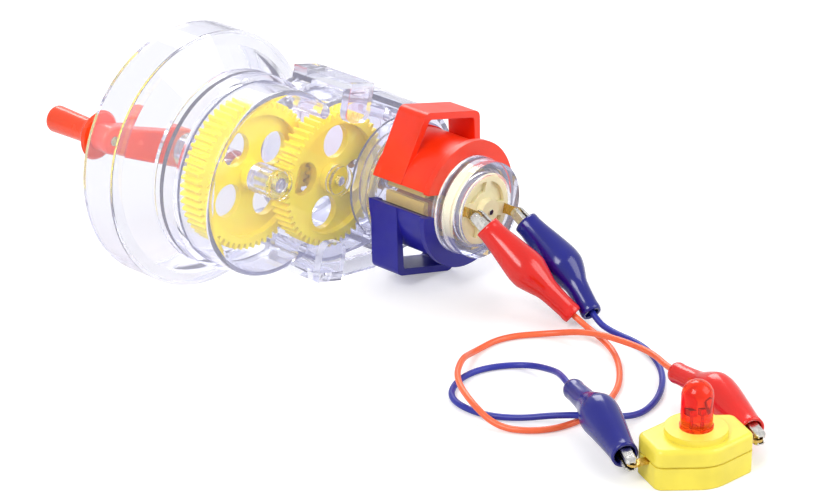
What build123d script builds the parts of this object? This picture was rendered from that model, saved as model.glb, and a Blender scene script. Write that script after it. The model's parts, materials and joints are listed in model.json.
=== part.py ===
"""A hand-cranked demonstration motor with two test leads and a lamp.

Millimetres and degrees. +Z is up and Z = 0 is the table. The three shafts run along +X. The
gear case lies over on its guard cup and on the south magnet holder's loop, so everything
about the shafts is laid out in a frame that is rolled about X: x along the shafts from the
front wall of the gear case, y from the motor shaft, z square to both.
"""
from build123d import *
import os
from math import acos, asin, atan2, cos, hypot, pi, radians, sin, tan

os.makedirs("parts", exist_ok=True)

# ---- gears ----
MODULE = 0.9
PRESSURE_ANGLE = radians(20)
DRIVE_TEETH = 56
STEP_TEETH = 52
PINION_TEETH = 10
PINION_SHIFT = 0.45                # profile shift, in modules; the wheels get the opposite
BACKLASH = 0.14
ADDENDUM, DEDENDUM = 1.0, 1.25     # in modules
WHEEL_RIM = 2.4                    # below the tooth roots
WHEEL_WEB = 2.4
WHEEL_HUB_R = 5.0
WINDOW_R = 5.85                    # the four round windows of a wheel
WINDOW_RING_R = 12.5
DRIVE_X = (-20.0, -11.6)           # first and last x of each toothed rim
STEP_X = (-10.2, -2.8)
RIM_LEDGE = 2.6                    # how far the web lies behind the rim's face

# ---- shafts and fits ----
RUNNING = 0.05                     # radial clearance of a turning fit
SEAT = 0.02                        # clearance of pieces that are fitted and stay put
CRANK_SHAFT_R = 2.5
AXLE_R = 1.5
MOTOR_SHAFT_R = 1.0
MOTOR_SHAFT_END = 45.4
BUSH_R = 2.6
BUSH_LENGTH = 4.0

# ---- clear gear case ----
WALL = 2.0
GUARD_R = 45.0
GUARD_X = (-47.0, -33.0)
CASE_R = 34.0                      # step round the crank shaft
CASE_START = -26.0
PARTING_X = -15.0
FLOOR_X = -24.0
IDLER_CASE_R = 31.0
BARREL_R = 27.5
BARREL_STEP = 0.6                  # the barrel stands this far inside the outline round it
BARREL_X = (-45.0, 3.0)
BARREL_BACK_ROUND = 3.0
GUARD_BLEND = 14.0
BEARING_TUBE_R = 6.0
BEARING_TUBE_X = -44.5

# ---- clear gear cover ----
COVER_WALL = 1.8
COVER_CRANK_R = 32.2
COVER_IDLER_R = 29.0
COVER_MOTOR_R = 22.5
COVER_WAIST_R = 5.0
COVER_EDGE = 2.2
BOSS_R = 5.2
BOSS_X = 10.8                      # the crank shaft's boss reaches this far behind the front
BOSS_OUT = 1.2
BOSS_PIN_R = 1.9
BOSS_PIN_OUT = 0.5
COLLAR_END = 8.0
COLLAR_LIP = 1.8
POST_R = 2.2

# ---- latches and rest foot ----
LATCH_WIDTH = 11.5
LATCH_THICKNESS = 2.6
LATCH_OUT = 35.0
LATCH_REACH = 21.0
LATCH_HOOK = 3.2
LATCH_GAP = 0.1
LATCH_ROUND = 4.0
FOOT_WALL = 2.0
FOOT_HEIGHT = 5.6

# ---- motor ----
TUBE_R = 17.0
TUBE_WALL = 1.6
TUBE_END = 35.0
CAP_FLANGE_R = TUBE_R + 0.3
CAP_FLANGE = 1.4
CAP_FRONT = 43.0
CAP_LIP = 1.2
BRUSH_BASE_R = TUBE_R - 4.0
CAP_LIP_R = BRUSH_BASE_R - 0.6
BRUSH_BASE_X = 36.4
BRUSH_STEP_X = 39.4
BRUSH_FACE_X = 42.0
BRUSH_HUB_R = 4.2
BRUSH_HUB_OUT = 2.9
GROOVE = 1.4
GROOVE_R = (6.4, 10.0)
GROOVE_HEIGHT = 5.0
BRUSH_X = (32.6, 35.2)
BRUSH_Y = (3.45, 5.4)
BRUSH_ARM_X = 33.3
TAB_Y = 10.5
TAB_HEIGHT = 3.4
TAB_THICKNESS = 0.5
TAB_END = 49.8
TAB_HOLE_R = 1.1
TAB_HOLE_IN = 1.9
CORE_GAP = 0.9                     # from the core to the shell
CORE_R = TUBE_R - TUBE_WALL - CORE_GAP
CORE_X = (10.5, 28.0)
CORE_HUB_R = 4.2
CORE_ARM = 4.4
SHOE_DEPTH = 2.2
SHOE_SLOT = 0.9
SHOE_TURN = 180.0                  # where one slot faces, seen against +X
COIL_DEPTH = 2.5
COIL_R = (4.5, CORE_R - SHOE_DEPTH - 1.1)
COMMUTATOR_R = 3.4
COMMUTATOR_X = (31.0, 36.0)

# ---- magnet holders ----
HOLDER_X = (8.3, 35.0)
MAGNET_DEPTH = 2.4
HOLDER_WALL = 1.5
HOLDER_SHELL_R = TUBE_R + MAGNET_DEPTH
HOLDER_OUT_R = HOLDER_SHELL_R + HOLDER_WALL
HOLDER_BACK_RIM_R = HOLDER_OUT_R + 0.4
HOLDER_FRONT_RIM_R = HOLDER_OUT_R + 1.6
HOLDER_RIM = 2.2
HOLDER_SPLIT = 4.0                 # half the gap between the two holders
LOOP_HALF = 13.9
LOOP_RISE = 7.9
LOOP_TOP = HOLDER_OUT_R + LOOP_RISE
LOOP_X = (9.0, 21.3)
LOOP_WALL = 2.4
LOOP_CORNER = 3.0
HOLDER_TRAVEL = 20.0

# ---- crank ----
CRANK_THROW = 33.0
CRANK_TILT = radians(7)            # the arm's end stands this far above the hub
ARM_X = (-53.0, -46.0)
ARM_HUB_R = 7.0
ARM_END_R = 4.8
CRANK_SHAFT_X = (-50.0, 0.3)
SCREW_R = 1.4
SCREW_HEAD_R = 3.6
SCREW_HEAD = 1.8
KNOB_END = -77.0
KNOB_R = 4.7
KNOB_EDGE = 1.5
KNOB_FLARE_R = 8.5
KNOB_PIN_R = 1.6

# ---- lamp ----
LAMP_AT = (188.3, -14.6)
LAMP_TURN = 65.3
LAMP_LENGTH = 33.0
LAMP_END = 14.0
LAMP_WIDTH = 24.6
LAMP_SPLIT = 7.2
LAMP_TOP = 13.2
LAMP_WALL = 1.8
LAMP_GROOVE = 0.5
LAMP_DISC_R = 9.85
LAMP_DISC = 2.0
BULB_R = 5.0
BULB_RIM_R = 5.3
BULB_RIM = 0.8
LAMP_CORNER = 3.0
LAMP_EDGE = 1.6
BULB_HEIGHT = 15.6
EYELET_OUT = 5.4
EYELET_R = 2.2
EYELET_HOLE_R = 1.1
EYELET_THICKNESS = 0.8
EYELET_Z = 6.2

# ---- clips and leads ----
CORD_R = 1.05
JAW_HALF = 1.8
JAW_TIP = -1.4
JAW_GAP = 0.75
JAW_SHEET = 0.8
JAW_PIVOT = 16.0
PIVOT_R = 0.8
HANDLE_END = 26.0
HANDLE_OUT = 5.2
BOOT_MOUTH = 4.6
BOOT_MOUTH_R = 4.3
BOOT_WIDE_R = 7.0
BOOT_TAIL_R = 3.3
BOOT_WALL = 0.9

# ---- worked-out places ----
CRANK_TO_IDLER = MODULE * (DRIVE_TEETH + PINION_TEETH) / 2
IDLER_TO_MOTOR = MODULE * (STEP_TEETH + PINION_TEETH) / 2
IDLER_Y = -IDLER_TO_MOTOR
CRANK_Y = IDLER_Y - CRANK_TO_IDLER
CORNER_Y = LOOP_HALF - LOOP_CORNER - CRANK_Y
CORNER_Z = LOOP_TOP - LOOP_CORNER
ROLL = asin((GUARD_R - LOOP_CORNER) / hypot(CORNER_Y, CORNER_Z)) - atan2(CORNER_Z, CORNER_Y)
MID_X = (KNOB_END + TAB_END) / 2
MID_Y = (BARREL_R - CRANK_Y * cos(ROLL) - GUARD_R) / 2
SIDE = Vector(0, cos(ROLL), -sin(ROLL))
UP = Vector(0, sin(ROLL), cos(ROLL))
FORWARD = Vector(1, 0, 0)


def place(x, y, z=0.0):
    """Turn a place in the shafts' frame into one in the part's frame."""
    return Vector(x - MID_X, -MID_Y, GUARD_R) + SIDE * (y - CRANK_Y) + UP * z


def across(x, y=0.0, z=0.0):
    """A plane square to the shafts: its x runs along the row of shafts, its y is up."""
    return Plane(origin=place(x, y, z), x_dir=SIDE, z_dir=FORWARD)


def along(y=0.0, z=0.0):
    """A plane through a shaft: its x runs along the shaft, its y is up."""
    return Plane(origin=place(0, y, z), x_dir=FORWARD, z_dir=SIDE * -1)


def rod(start, end, outer, inner=0.0, y=0.0, z=0.0, mode=Mode.ADD):
    """Add a rod or a tube along the shafts to the part that is being built."""
    with BuildSketch(across(start, y, z)) as section:
        Circle(outer)
        if inner:
            Circle(inner, mode=Mode.SUBTRACT)
    extrude(section.sketch, amount=end - start, mode=mode)


def bar(start, end, sketch, mode=Mode.ADD):
    """Add a flat shape, drawn about the motor shaft, as a bar along the shafts."""
    with BuildSketch(across(start)) as section:
        add(sketch)
    extrude(section.sketch, amount=end - start, mode=mode)


def turned(points, y=0.0, z=0.0, mode=Mode.ADD):
    """Add a turned shape whose outline is a list of (x, radius) about the shaft at y."""
    with BuildSketch(along(y, z)) as section:
        with BuildLine():
            Polyline(*points, close=True)
        make_face()
    revolve(section.sketch, axis=Axis(place(0, y, z), FORWARD), mode=mode)


def save(part, name):
    """Label a finished piece and write it."""
    part.label = name
    export_step(part, f"parts/{name}.step")


# ---- toothed wheels ----
def involute(angle):
    """The involute function."""
    return tan(angle) - angle


def tip_radius(teeth, shift):
    """Outer radius of a toothed wheel."""
    return MODULE * (teeth / 2 + ADDENDUM + shift)


def root_radius(teeth, shift):
    """Radius at the bottom of the tooth gaps."""
    return MODULE * (teeth / 2 - DEDENDUM + shift)


def half_tooth(teeth, shift, radius):
    """Half the angle that a tooth takes at a radius."""
    pitch = MODULE * teeth / 2
    base = pitch * cos(PRESSURE_ANGLE)
    at_pitch = (pi / 2 + 2 * shift * tan(PRESSURE_ANGLE)) / teeth - BACKLASH / (4 * pitch)
    return at_pitch + involute(PRESSURE_ANGLE) - involute(acos(min(1, base / radius)))


def on_flank(radius, angle):
    """A point by its radius and angle."""
    return radius * cos(angle), radius * sin(angle)


def toothed(teeth, shift, bore, turn=0.0):
    """A toothed disc with involute flanks, one arc to a flank, and a bore."""
    tip = tip_radius(teeth, shift)
    root = root_radius(teeth, shift)
    low = max(root, MODULE * teeth / 2 * cos(PRESSURE_ANGLE))
    middle = (low + tip) / 2
    inside = root - MODULE / 4
    ends = [half_tooth(teeth, shift, radius) for radius in (low, middle, tip)]
    with BuildSketch() as tooth:
        with BuildLine():
            up = ThreePointArc(on_flank(low, -ends[0]), on_flank(middle, -ends[1]),
                               on_flank(tip, -ends[2]))
            over = ThreePointArc(up @ 1, (tip, 0), on_flank(tip, ends[2]))
            down = ThreePointArc(over @ 1, on_flank(middle, ends[1]), on_flank(low, ends[0]))
            Polyline(down @ 1, on_flank(inside, ends[0]), on_flank(inside, -ends[0]), up @ 0)
        make_face()
    with BuildSketch() as disc:
        Circle(root)
        with Locations(Rotation(0, 0, turn)):
            with PolarLocations(0, teeth):
                add(tooth.sketch)
        Circle(bore, mode=Mode.SUBTRACT)
    return disc.sketch


def wheel_body(y, rim, teeth, bore, window_turn):
    """Add a spoked wheel: toothed rim, thin web with four round windows, and hub."""
    start, end = rim
    inner = root_radius(teeth, -PINION_SHIFT) - WHEEL_RIM
    web_end = end - RIM_LEDGE
    with BuildSketch(across(start, y)) as teeth_face:
        add(toothed(teeth, -PINION_SHIFT, inner, 180 / teeth))
    extrude(teeth_face.sketch, amount=end - start)
    with BuildSketch(across(web_end - WHEEL_WEB, y)) as web:
        Circle(inner)
        Circle(bore, mode=Mode.SUBTRACT)
        with Locations(Rotation(0, 0, window_turn)):
            with PolarLocations(WINDOW_RING_R, 4):
                Circle(WINDOW_R, mode=Mode.SUBTRACT)
    extrude(web.sketch, amount=WHEEL_WEB)
    rod(start, end + 0.4, WHEEL_HUB_R, bore, y=y)


# ---- outlines about the shafts ----
def guard_outline():
    """The guard cup's round, run into the barrel's by two hollow curves."""
    with BuildSketch() as outline:
        with Locations((CRANK_Y, 0)):
            Circle(GUARD_R)
        Circle(BARREL_R)
        fillet(outline.vertices(), GUARD_BLEND)
    return outline.sketch


def cover_outline(inset=0.0):
    """The gear cover's outline: a round over the crank wheel, and a taper to the motor."""
    with BuildSketch() as outline:
        with Locations((IDLER_Y, 0)):
            Circle(COVER_IDLER_R - inset)
        Circle(COVER_MOTOR_R - inset)
        make_hull()
        with Locations((CRANK_Y, 0)):
            Circle(COVER_CRANK_R - inset)
        waist = outline.vertices().filter_by_position(Axis.X, CRANK_Y + 1, IDLER_Y)
        fillet(waist, COVER_WAIST_R + inset)
    return outline.sketch


def case_outline():
    """The gear case's outline at its rim, behind the cover."""
    with BuildSketch() as outline:
        with Locations((IDLER_Y, 0)):
            Circle(IDLER_CASE_R)
        Circle(BARREL_R)
        make_hull()
        with Locations((CRANK_Y, 0)):
            Circle(CASE_R)
    return outline.sketch


def round_at(y, radius):
    """A disc about the shaft at y."""
    with BuildSketch() as shape:
        with Locations((y, 0)):
            Circle(radius)
    return shape.sketch


# ---- clear rear housing ----
def latch(side):
    """Add a latch arm at the top (side 1) or the bottom (side -1) of the waist."""
    arm_in = LATCH_OUT - LATCH_THICKNESS
    hook_start = LATCH_GAP
    with BuildSketch(across(FLOOR_X)) as arm:
        with Locations((IDLER_Y, side * (arm_in + LATCH_OUT) / 2)):
            Rectangle(LATCH_WIDTH, LATCH_THICKNESS)
    extrude(arm.sketch, amount=hook_start + LATCH_HOOK - FLOOR_X)
    with BuildSketch(across(FLOOR_X)) as root:
        with Locations((IDLER_Y, side * (IDLER_CASE_R - WALL + LATCH_OUT) / 2)):
            Rectangle(LATCH_WIDTH, LATCH_OUT - IDLER_CASE_R + WALL)
    extrude(root.sketch, amount=PARTING_X - FLOOR_X)
    with BuildSketch(across(hook_start)) as hook:
        with Locations((IDLER_Y, side * (LATCH_REACH + LATCH_OUT) / 2)):
            Rectangle(LATCH_WIDTH, LATCH_OUT - LATCH_REACH)
        inner = hook.vertices().sort_by(Axis.Y)
        fillet(inner[:2] if side > 0 else inner[2:], LATCH_ROUND)
    extrude(hook.sketch, amount=LATCH_HOOK)


def table_point(x, y):
    """The plan place of the point of the table below (x, y) of the shafts' frame."""
    drop = (GUARD_R - (y - CRANK_Y) * sin(ROLL)) / cos(ROLL)
    point = place(x, y, -drop)
    return point.X, point.Y


with BuildPart() as rear_housing:
    bar(FLOOR_X, PARTING_X, case_outline())
    bar(FLOOR_X + WALL, PARTING_X, cover_outline(COVER_WALL), mode=Mode.SUBTRACT)
    turned([(GUARD_X[1], 0), (GUARD_X[1], GUARD_R), (CASE_START, CASE_R - BARREL_STEP),
            (FLOOR_X, CASE_R - BARREL_STEP), (FLOOR_X, 0)], y=CRANK_Y)
    bar(GUARD_X[0], GUARD_X[1], guard_outline())
    with BuildSketch(across(GUARD_X[0])) as cup:
        add(guard_outline())
        offset(amount=-WALL)
    extrude(cup.sketch, amount=GUARD_X[1] - GUARD_X[0] - WALL, mode=Mode.SUBTRACT)
    turned([(GUARD_X[1] - WALL, 0), (GUARD_X[1] - WALL, GUARD_R - 3 * WALL),
            (CASE_START, CASE_R - 2 * WALL), (FLOOR_X, CASE_R - 2 * WALL), (FLOOR_X, 0)],
           y=CRANK_Y, mode=Mode.SUBTRACT)
    outer = BARREL_R - BARREL_STEP
    inner = outer - WALL
    turned([(BARREL_X[0], 0), (BARREL_X[0], outer - BARREL_BACK_ROUND),
            (BARREL_X[0] + BARREL_BACK_ROUND, outer), (FLOOR_X, outer), (FLOOR_X, 0)])
    turned([(BARREL_X[0] + WALL, 0), (BARREL_X[0] + WALL, inner - BARREL_BACK_ROUND),
            (BARREL_X[0] + WALL + BARREL_BACK_ROUND, inner), (FLOOR_X, inner), (FLOOR_X, 0)],
           mode=Mode.SUBTRACT)
    rod(FLOOR_X + WALL, PARTING_X - WALL, inner - BARREL_STEP, mode=Mode.SUBTRACT)
    with BuildSketch(across(PARTING_X - WALL)) as shroud:
        Circle(outer)
        Circle(inner, mode=Mode.SUBTRACT)
        with Locations((-BARREL_R, 0)):
            Rectangle(2 * BARREL_R - 8, 2 * BARREL_R, mode=Mode.SUBTRACT)
    extrude(shroud.sketch, amount=BARREL_X[1] - PARTING_X + WALL)
    latch(1)
    latch(-1)
    with BuildSketch(Plane.XY) as foot:
        with BuildLine():
            Polyline(table_point(PARTING_X - 5, -20), table_point(-8, -23),
                     table_point(-3, -15.5), table_point(0, -3))
            offset(amount=FOOT_WALL / 2, side=Side.BOTH)
        make_face()
    extrude(foot.sketch, amount=FOOT_HEIGHT)
    rod(BEARING_TUBE_X, FLOOR_X + WALL, BEARING_TUBE_R, y=CRANK_Y)
    rod(FLOOR_X, DRIVE_X[0] - 1, BUSH_R + WALL)
    rod(BEARING_TUBE_X - 1, DRIVE_X[0], CRANK_SHAFT_R + RUNNING, y=CRANK_Y, mode=Mode.SUBTRACT)
    rod(FLOOR_X + WALL / 2, DRIVE_X[0], AXLE_R, y=IDLER_Y, mode=Mode.SUBTRACT)
    rod(FLOOR_X - 1, DRIVE_X[0], BUSH_R, mode=Mode.SUBTRACT)
save(rear_housing.part, "rear_housing")


# ---- clear front cover ----
def cover_round(y, z):
    """Add a screw column of the cover at (y, z)."""
    rod(PARTING_X, -COVER_WALL / 2, POST_R, y=y, z=z)


with BuildPart() as front_cover:
    bar(PARTING_X, 0, cover_outline())
    fillet(front_cover.faces().sort_by(Axis.X)[-1].edges(), COVER_EDGE)
    bar(PARTING_X - 1, -COVER_WALL, cover_outline(COVER_WALL), mode=Mode.SUBTRACT)
    for side in (-1, 1):
        cover_round(CRANK_Y + 18, side * 24)
        cover_round(-8, side * 22)
    rod(-BOSS_X, BOSS_OUT, BOSS_R, y=CRANK_Y)
    rod(-COVER_WALL - 0.6, BOSS_OUT, BOSS_R, y=IDLER_Y)
    rod(-COVER_WALL - 0.6, BUSH_LENGTH - COVER_WALL - 0.8, BUSH_R + COVER_WALL)
    rod(-COVER_WALL / 2, COLLAR_END, COVER_MOTOR_R - 0.5, COVER_MOTOR_R - 0.5 - COVER_WALL)
    rod(COLLAR_END - COLLAR_LIP, COLLAR_END, COVER_MOTOR_R - 1, TUBE_R + SEAT)
    for y, hole in ((CRANK_Y, CRANK_SHAFT_R + RUNNING), (IDLER_Y, AXLE_R)):
        rod(0, BOSS_OUT + BOSS_PIN_OUT, BOSS_PIN_R, y=y)
        rod(-BOSS_X - 1, BOSS_OUT / 2, hole, y=y, mode=Mode.SUBTRACT)
    rod(-COVER_WALL - 1, BUSH_LENGTH, BUSH_R, mode=Mode.SUBTRACT)
save(front_cover.part, "front_cover")

# ---- crank shaft and the two geared wheels ----
with BuildPart() as crank_shaft:
    rod(CRANK_SHAFT_X[0], CRANK_SHAFT_X[1], CRANK_SHAFT_R, y=CRANK_Y)
    rod(CRANK_SHAFT_X[0] - 1, ARM_X[1] + 1, SCREW_R + SEAT, y=CRANK_Y, mode=Mode.SUBTRACT)
save(crank_shaft.part, "crank_shaft")

with BuildPart() as drive_gear:
    wheel_body(CRANK_Y, DRIVE_X, DRIVE_TEETH, CRANK_SHAFT_R + SEAT, 45)
save(drive_gear.part, "drive_gear")

with BuildPart() as idler_axle:
    rod(FLOOR_X + WALL / 2 + SEAT, BOSS_OUT / 2 - SEAT, AXLE_R - SEAT, y=IDLER_Y)
save(idler_axle.part, "idler_axle")

with BuildPart() as reduction_gear:
    wheel_body(IDLER_Y, STEP_X, STEP_TEETH, AXLE_R + RUNNING, 0)
    with BuildSketch(across(DRIVE_X[0] - 0.2, IDLER_Y)) as small_teeth:
        add(toothed(PINION_TEETH, PINION_SHIFT, AXLE_R + RUNNING))
    extrude(small_teeth.sketch, amount=STEP_X[0] - DRIVE_X[0] + 0.5)
save(reduction_gear.part, "reduction_gear")

# ---- armature ----
with BuildPart() as motor_shaft:
    rod(FLOOR_X - 0.5, MOTOR_SHAFT_END, MOTOR_SHAFT_R)
save(motor_shaft.part, "motor_shaft")

with BuildPart() as motor_pinion:
    with BuildSketch(across(STEP_X[0] - 0.2)) as pinion_teeth:
        add(toothed(PINION_TEETH, PINION_SHIFT, MOTOR_SHAFT_R + SEAT))
    extrude(pinion_teeth.sketch, amount=STEP_X[1] - STEP_X[0])
save(motor_pinion.part, "motor_pinion")

with BuildSketch() as core_shape:
    Circle(CORE_R)
    Circle(CORE_R - SHOE_DEPTH, mode=Mode.SUBTRACT)
    with PolarLocations(0, 3, start_angle=SHOE_TURN):
        with Locations((CORE_R, 0)):
            Rectangle(3 * SHOE_DEPTH, 2 * SHOE_SLOT, mode=Mode.SUBTRACT)
    with PolarLocations(0, 3, start_angle=SHOE_TURN - 60):
        with Locations(((CORE_R - SHOE_DEPTH / 2) / 2, 0)):
            Rectangle(CORE_R - SHOE_DEPTH / 2, CORE_ARM)
    Circle(CORE_HUB_R)
    Circle(MOTOR_SHAFT_R + SEAT, mode=Mode.SUBTRACT)
with BuildPart() as armature_core:
    bar(CORE_X[0], CORE_X[1], core_shape.sketch)
save(armature_core.part, "armature_core")

with BuildPart() as windings:
    with BuildSketch(across(CORE_X[0] - COIL_DEPTH)) as coils:
        with PolarLocations(0, 3, start_angle=SHOE_TURN - 60):
            with Locations((COIL_R[0] / 2 + COIL_R[1] / 2, 0)):
                Rectangle(COIL_R[1] - COIL_R[0], CORE_ARM + 2 * COIL_DEPTH)
    extrude(coils.sketch, amount=CORE_X[1] - CORE_X[0] + 2 * COIL_DEPTH)
    fillet(windings.edges().filter_by(GeomType.LINE).group_by(Axis.X)[0], 1)
    with BuildSketch(across(CORE_X[0] - SEAT)) as arms:
        with PolarLocations(0, 3, start_angle=SHOE_TURN - 60):
            with Locations((CORE_R / 2, 0)):
                Rectangle(CORE_R, CORE_ARM + 2 * SEAT)
    extrude(arms.sketch, amount=CORE_X[1] - CORE_X[0] + 2 * SEAT, mode=Mode.SUBTRACT)
save(windings.part, "windings")

with BuildPart() as commutator:
    rod(COMMUTATOR_X[0], COMMUTATOR_X[1], COMMUTATOR_R, MOTOR_SHAFT_R + SEAT)
    with BuildSketch(across(COMMUTATOR_X[0])) as cuts:
        with PolarLocations(0, 3, start_angle=SHOE_TURN - 60):
            with Locations((COMMUTATOR_R, 0)):
                Rectangle(1.2, 0.5)
    extrude(cuts.sketch, amount=COMMUTATOR_X[1] - COMMUTATOR_X[0], mode=Mode.SUBTRACT)
save(commutator.part, "commutator")

with BuildPart() as rear_bearing:
    rod(FLOOR_X, DRIVE_X[0] - 1, BUSH_R - SEAT, MOTOR_SHAFT_R + RUNNING)
save(rear_bearing.part, "rear_bearing")

with BuildPart() as middle_bearing:
    rod(-COVER_WALL - 0.6, BUSH_LENGTH - COVER_WALL, BUSH_R - SEAT, MOTOR_SHAFT_R + RUNNING)
save(middle_bearing.part, "middle_bearing")

# ---- motor shell, end cap and brush gear ----
with BuildPart() as motor_tube:
    rod(SEAT, TUBE_END, TUBE_R, TUBE_R - TUBE_WALL)
save(motor_tube.part, "motor_tube")

spigot = TUBE_R - TUBE_WALL - RUNNING
with BuildPart() as end_cap:
    turned([(TUBE_END - 2.5, spigot - 1.4), (TUBE_END - 2.5, spigot), (TUBE_END + SEAT, spigot),
            (TUBE_END + SEAT, CAP_FLANGE_R), (TUBE_END + CAP_FLANGE, CAP_FLANGE_R),
            (TUBE_END + CAP_FLANGE, TUBE_R - 0.05), (CAP_FRONT, TUBE_R - 0.05),
            (CAP_FRONT, CAP_LIP_R), (CAP_FRONT - CAP_LIP, CAP_LIP_R),
            (CAP_FRONT - CAP_LIP, BRUSH_BASE_R + SEAT), (BRUSH_BASE_X - SEAT, BRUSH_BASE_R + SEAT),
            (BRUSH_BASE_X - SEAT, spigot - 1.4)])
save(end_cap.part, "end_cap")

with BuildPart() as brush_holder:
    face = BRUSH_FACE_X
    turned([(BRUSH_BASE_X, MOTOR_SHAFT_R + RUNNING), (BRUSH_BASE_X, BRUSH_BASE_R),
            (BRUSH_STEP_X, BRUSH_BASE_R), (BRUSH_STEP_X, CAP_LIP_R - 0.2),
            (face, CAP_LIP_R - 0.2), (face, BRUSH_HUB_R), (face + BRUSH_HUB_OUT, BRUSH_HUB_R),
            (face + BRUSH_HUB_OUT, MOTOR_SHAFT_R + RUNNING)])
    with BuildSketch(across(BRUSH_BASE_X - 1)) as slots:
        with Locations((TAB_Y, 0), (-TAB_Y, 0)):
            Rectangle(TAB_THICKNESS + 2 * SEAT, TAB_HEIGHT + 2 * SEAT)
    extrude(slots.sketch, amount=10, mode=Mode.SUBTRACT)
    with BuildSketch(across(face - GROOVE)) as grooves:
        Circle(GROOVE_R[1])
        Circle(GROOVE_R[0], mode=Mode.SUBTRACT)
        Rectangle(2 * CAP_LIP_R, GROOVE_HEIGHT, mode=Mode.SUBTRACT)
        Rectangle(GROOVE_HEIGHT / 2, 2 * CAP_LIP_R, mode=Mode.SUBTRACT)
    extrude(grooves.sketch, amount=GROOVE, mode=Mode.SUBTRACT)
save(brush_holder.part, "brush_holder")


def terminal(side):
    """A brass lug: a tab with a holed round end, and an arm that presses on its brush."""
    plane = Plane(origin=place(0, side * TAB_Y), x_dir=FORWARD, z_dir=SIDE * -1)
    with BuildPart() as lug:
        with BuildSketch(plane) as tab:
            with Locations(((BRUSH_ARM_X + TAB_END - TAB_HEIGHT / 2) / 2, 0)):
                Rectangle(TAB_END - TAB_HEIGHT / 2 - BRUSH_ARM_X, TAB_HEIGHT)
            with Locations((TAB_END - TAB_HEIGHT / 2, 0)):
                Circle(TAB_HEIGHT / 2)
            with Locations((TAB_END - TAB_HOLE_IN, 0)):
                Circle(TAB_HOLE_R, mode=Mode.SUBTRACT)
        extrude(tab.sketch, amount=TAB_THICKNESS / 2, both=True)
        reach = TAB_Y - BRUSH_Y[1] + TAB_THICKNESS / 2
        with BuildSketch(across(BRUSH_ARM_X)) as arm:
            with Locations((side * (BRUSH_Y[1] + reach / 2), 0)):
                Rectangle(reach, TAB_HEIGHT)
        extrude(arm.sketch, amount=TAB_THICKNESS)
        with BuildSketch(across(BRUSH_ARM_X)) as pad:
            with Locations((side * (BRUSH_Y[1] + TAB_THICKNESS / 2), 0)):
                Rectangle(TAB_THICKNESS, TAB_HEIGHT)
        extrude(pad.sketch, amount=BRUSH_X[1] - BRUSH_ARM_X)
    return lug.part


save(terminal(-1), "terminal_left")
save(terminal(1), "terminal_right")

with BuildPart() as brushes:
    with BuildSketch(across(BRUSH_X[0])) as blocks:
        for side in (-1, 1):
            with Locations((side * (BRUSH_Y[0] + BRUSH_Y[1]) / 2, 0)):
                Rectangle(BRUSH_Y[1] - BRUSH_Y[0], 2.4)
    extrude(blocks.sketch, amount=BRUSH_X[1] - BRUSH_X[0])
save(brushes.part, "brushes")

# ---- magnet holders ----
def half_ring(outer, inner, side, gap):
    """A ring's part beyond a gap to one side."""
    with BuildSketch() as ring:
        Circle(outer)
        Circle(inner, mode=Mode.SUBTRACT)
        with Locations((0, side * (gap - outer))):
            Rectangle(3 * outer, 2 * outer, mode=Mode.SUBTRACT)
    return ring.sketch


def loop_outline(side, inset):
    """The carrying loop's four corners: its legs spread down to the holder's two edges."""
    top = side * (LOOP_TOP - inset)
    foot = side * HOLDER_SPLIT
    half = LOOP_HALF - inset
    spread = HOLDER_OUT_R - inset
    return [(-half, top), (half, top), (spread, foot), (-spread, foot)]


def holder(side):
    """A magnet holder: half a shell with two rims, and a square carrying loop."""
    with BuildPart() as half:
        first, last = HOLDER_X
        bar(first, last, half_ring(HOLDER_OUT_R, HOLDER_SHELL_R, side, HOLDER_SPLIT))
        bar(first, first + HOLDER_RIM,
            half_ring(HOLDER_BACK_RIM_R, TUBE_R + SEAT, side, HOLDER_SPLIT))
        bar(last - HOLDER_RIM, last,
            half_ring(HOLDER_FRONT_RIM_R, TUBE_R + SEAT, side, HOLDER_SPLIT))
        with BuildSketch() as loop:
            with BuildLine():
                Polyline(*loop_outline(side, 0), close=True)
            make_face()
            corners = loop.vertices().sort_by(Axis.Y)
            fillet(corners[2:] if side > 0 else corners[:2], LOOP_CORNER)
            with BuildSketch(mode=Mode.SUBTRACT) as window:
                with BuildLine():
                    Polyline(*loop_outline(side, LOOP_WALL), close=True)
                make_face()
                corners = window.vertices().sort_by(Axis.Y)
                fillet(corners[2:] if side > 0 else corners[:2], LOOP_CORNER / 2)
            Circle((HOLDER_SHELL_R + HOLDER_OUT_R) / 2, mode=Mode.SUBTRACT)
        bar(LOOP_X[0], LOOP_X[1], loop.sketch)
    return half.part


def magnet(side):
    """A curved magnet that fills its holder between the rims."""
    with BuildPart() as block:
        bar(HOLDER_X[0] + HOLDER_RIM + SEAT, HOLDER_X[1] - HOLDER_RIM - SEAT,
            half_ring(HOLDER_SHELL_R - SEAT, TUBE_R + 2 * SEAT, side, HOLDER_SPLIT + 0.3))
    return block.part


save(holder(1), "red_holder")
save(magnet(1), "north_magnet")
save(holder(-1), "blue_holder")
save(magnet(-1), "south_magnet")

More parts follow.
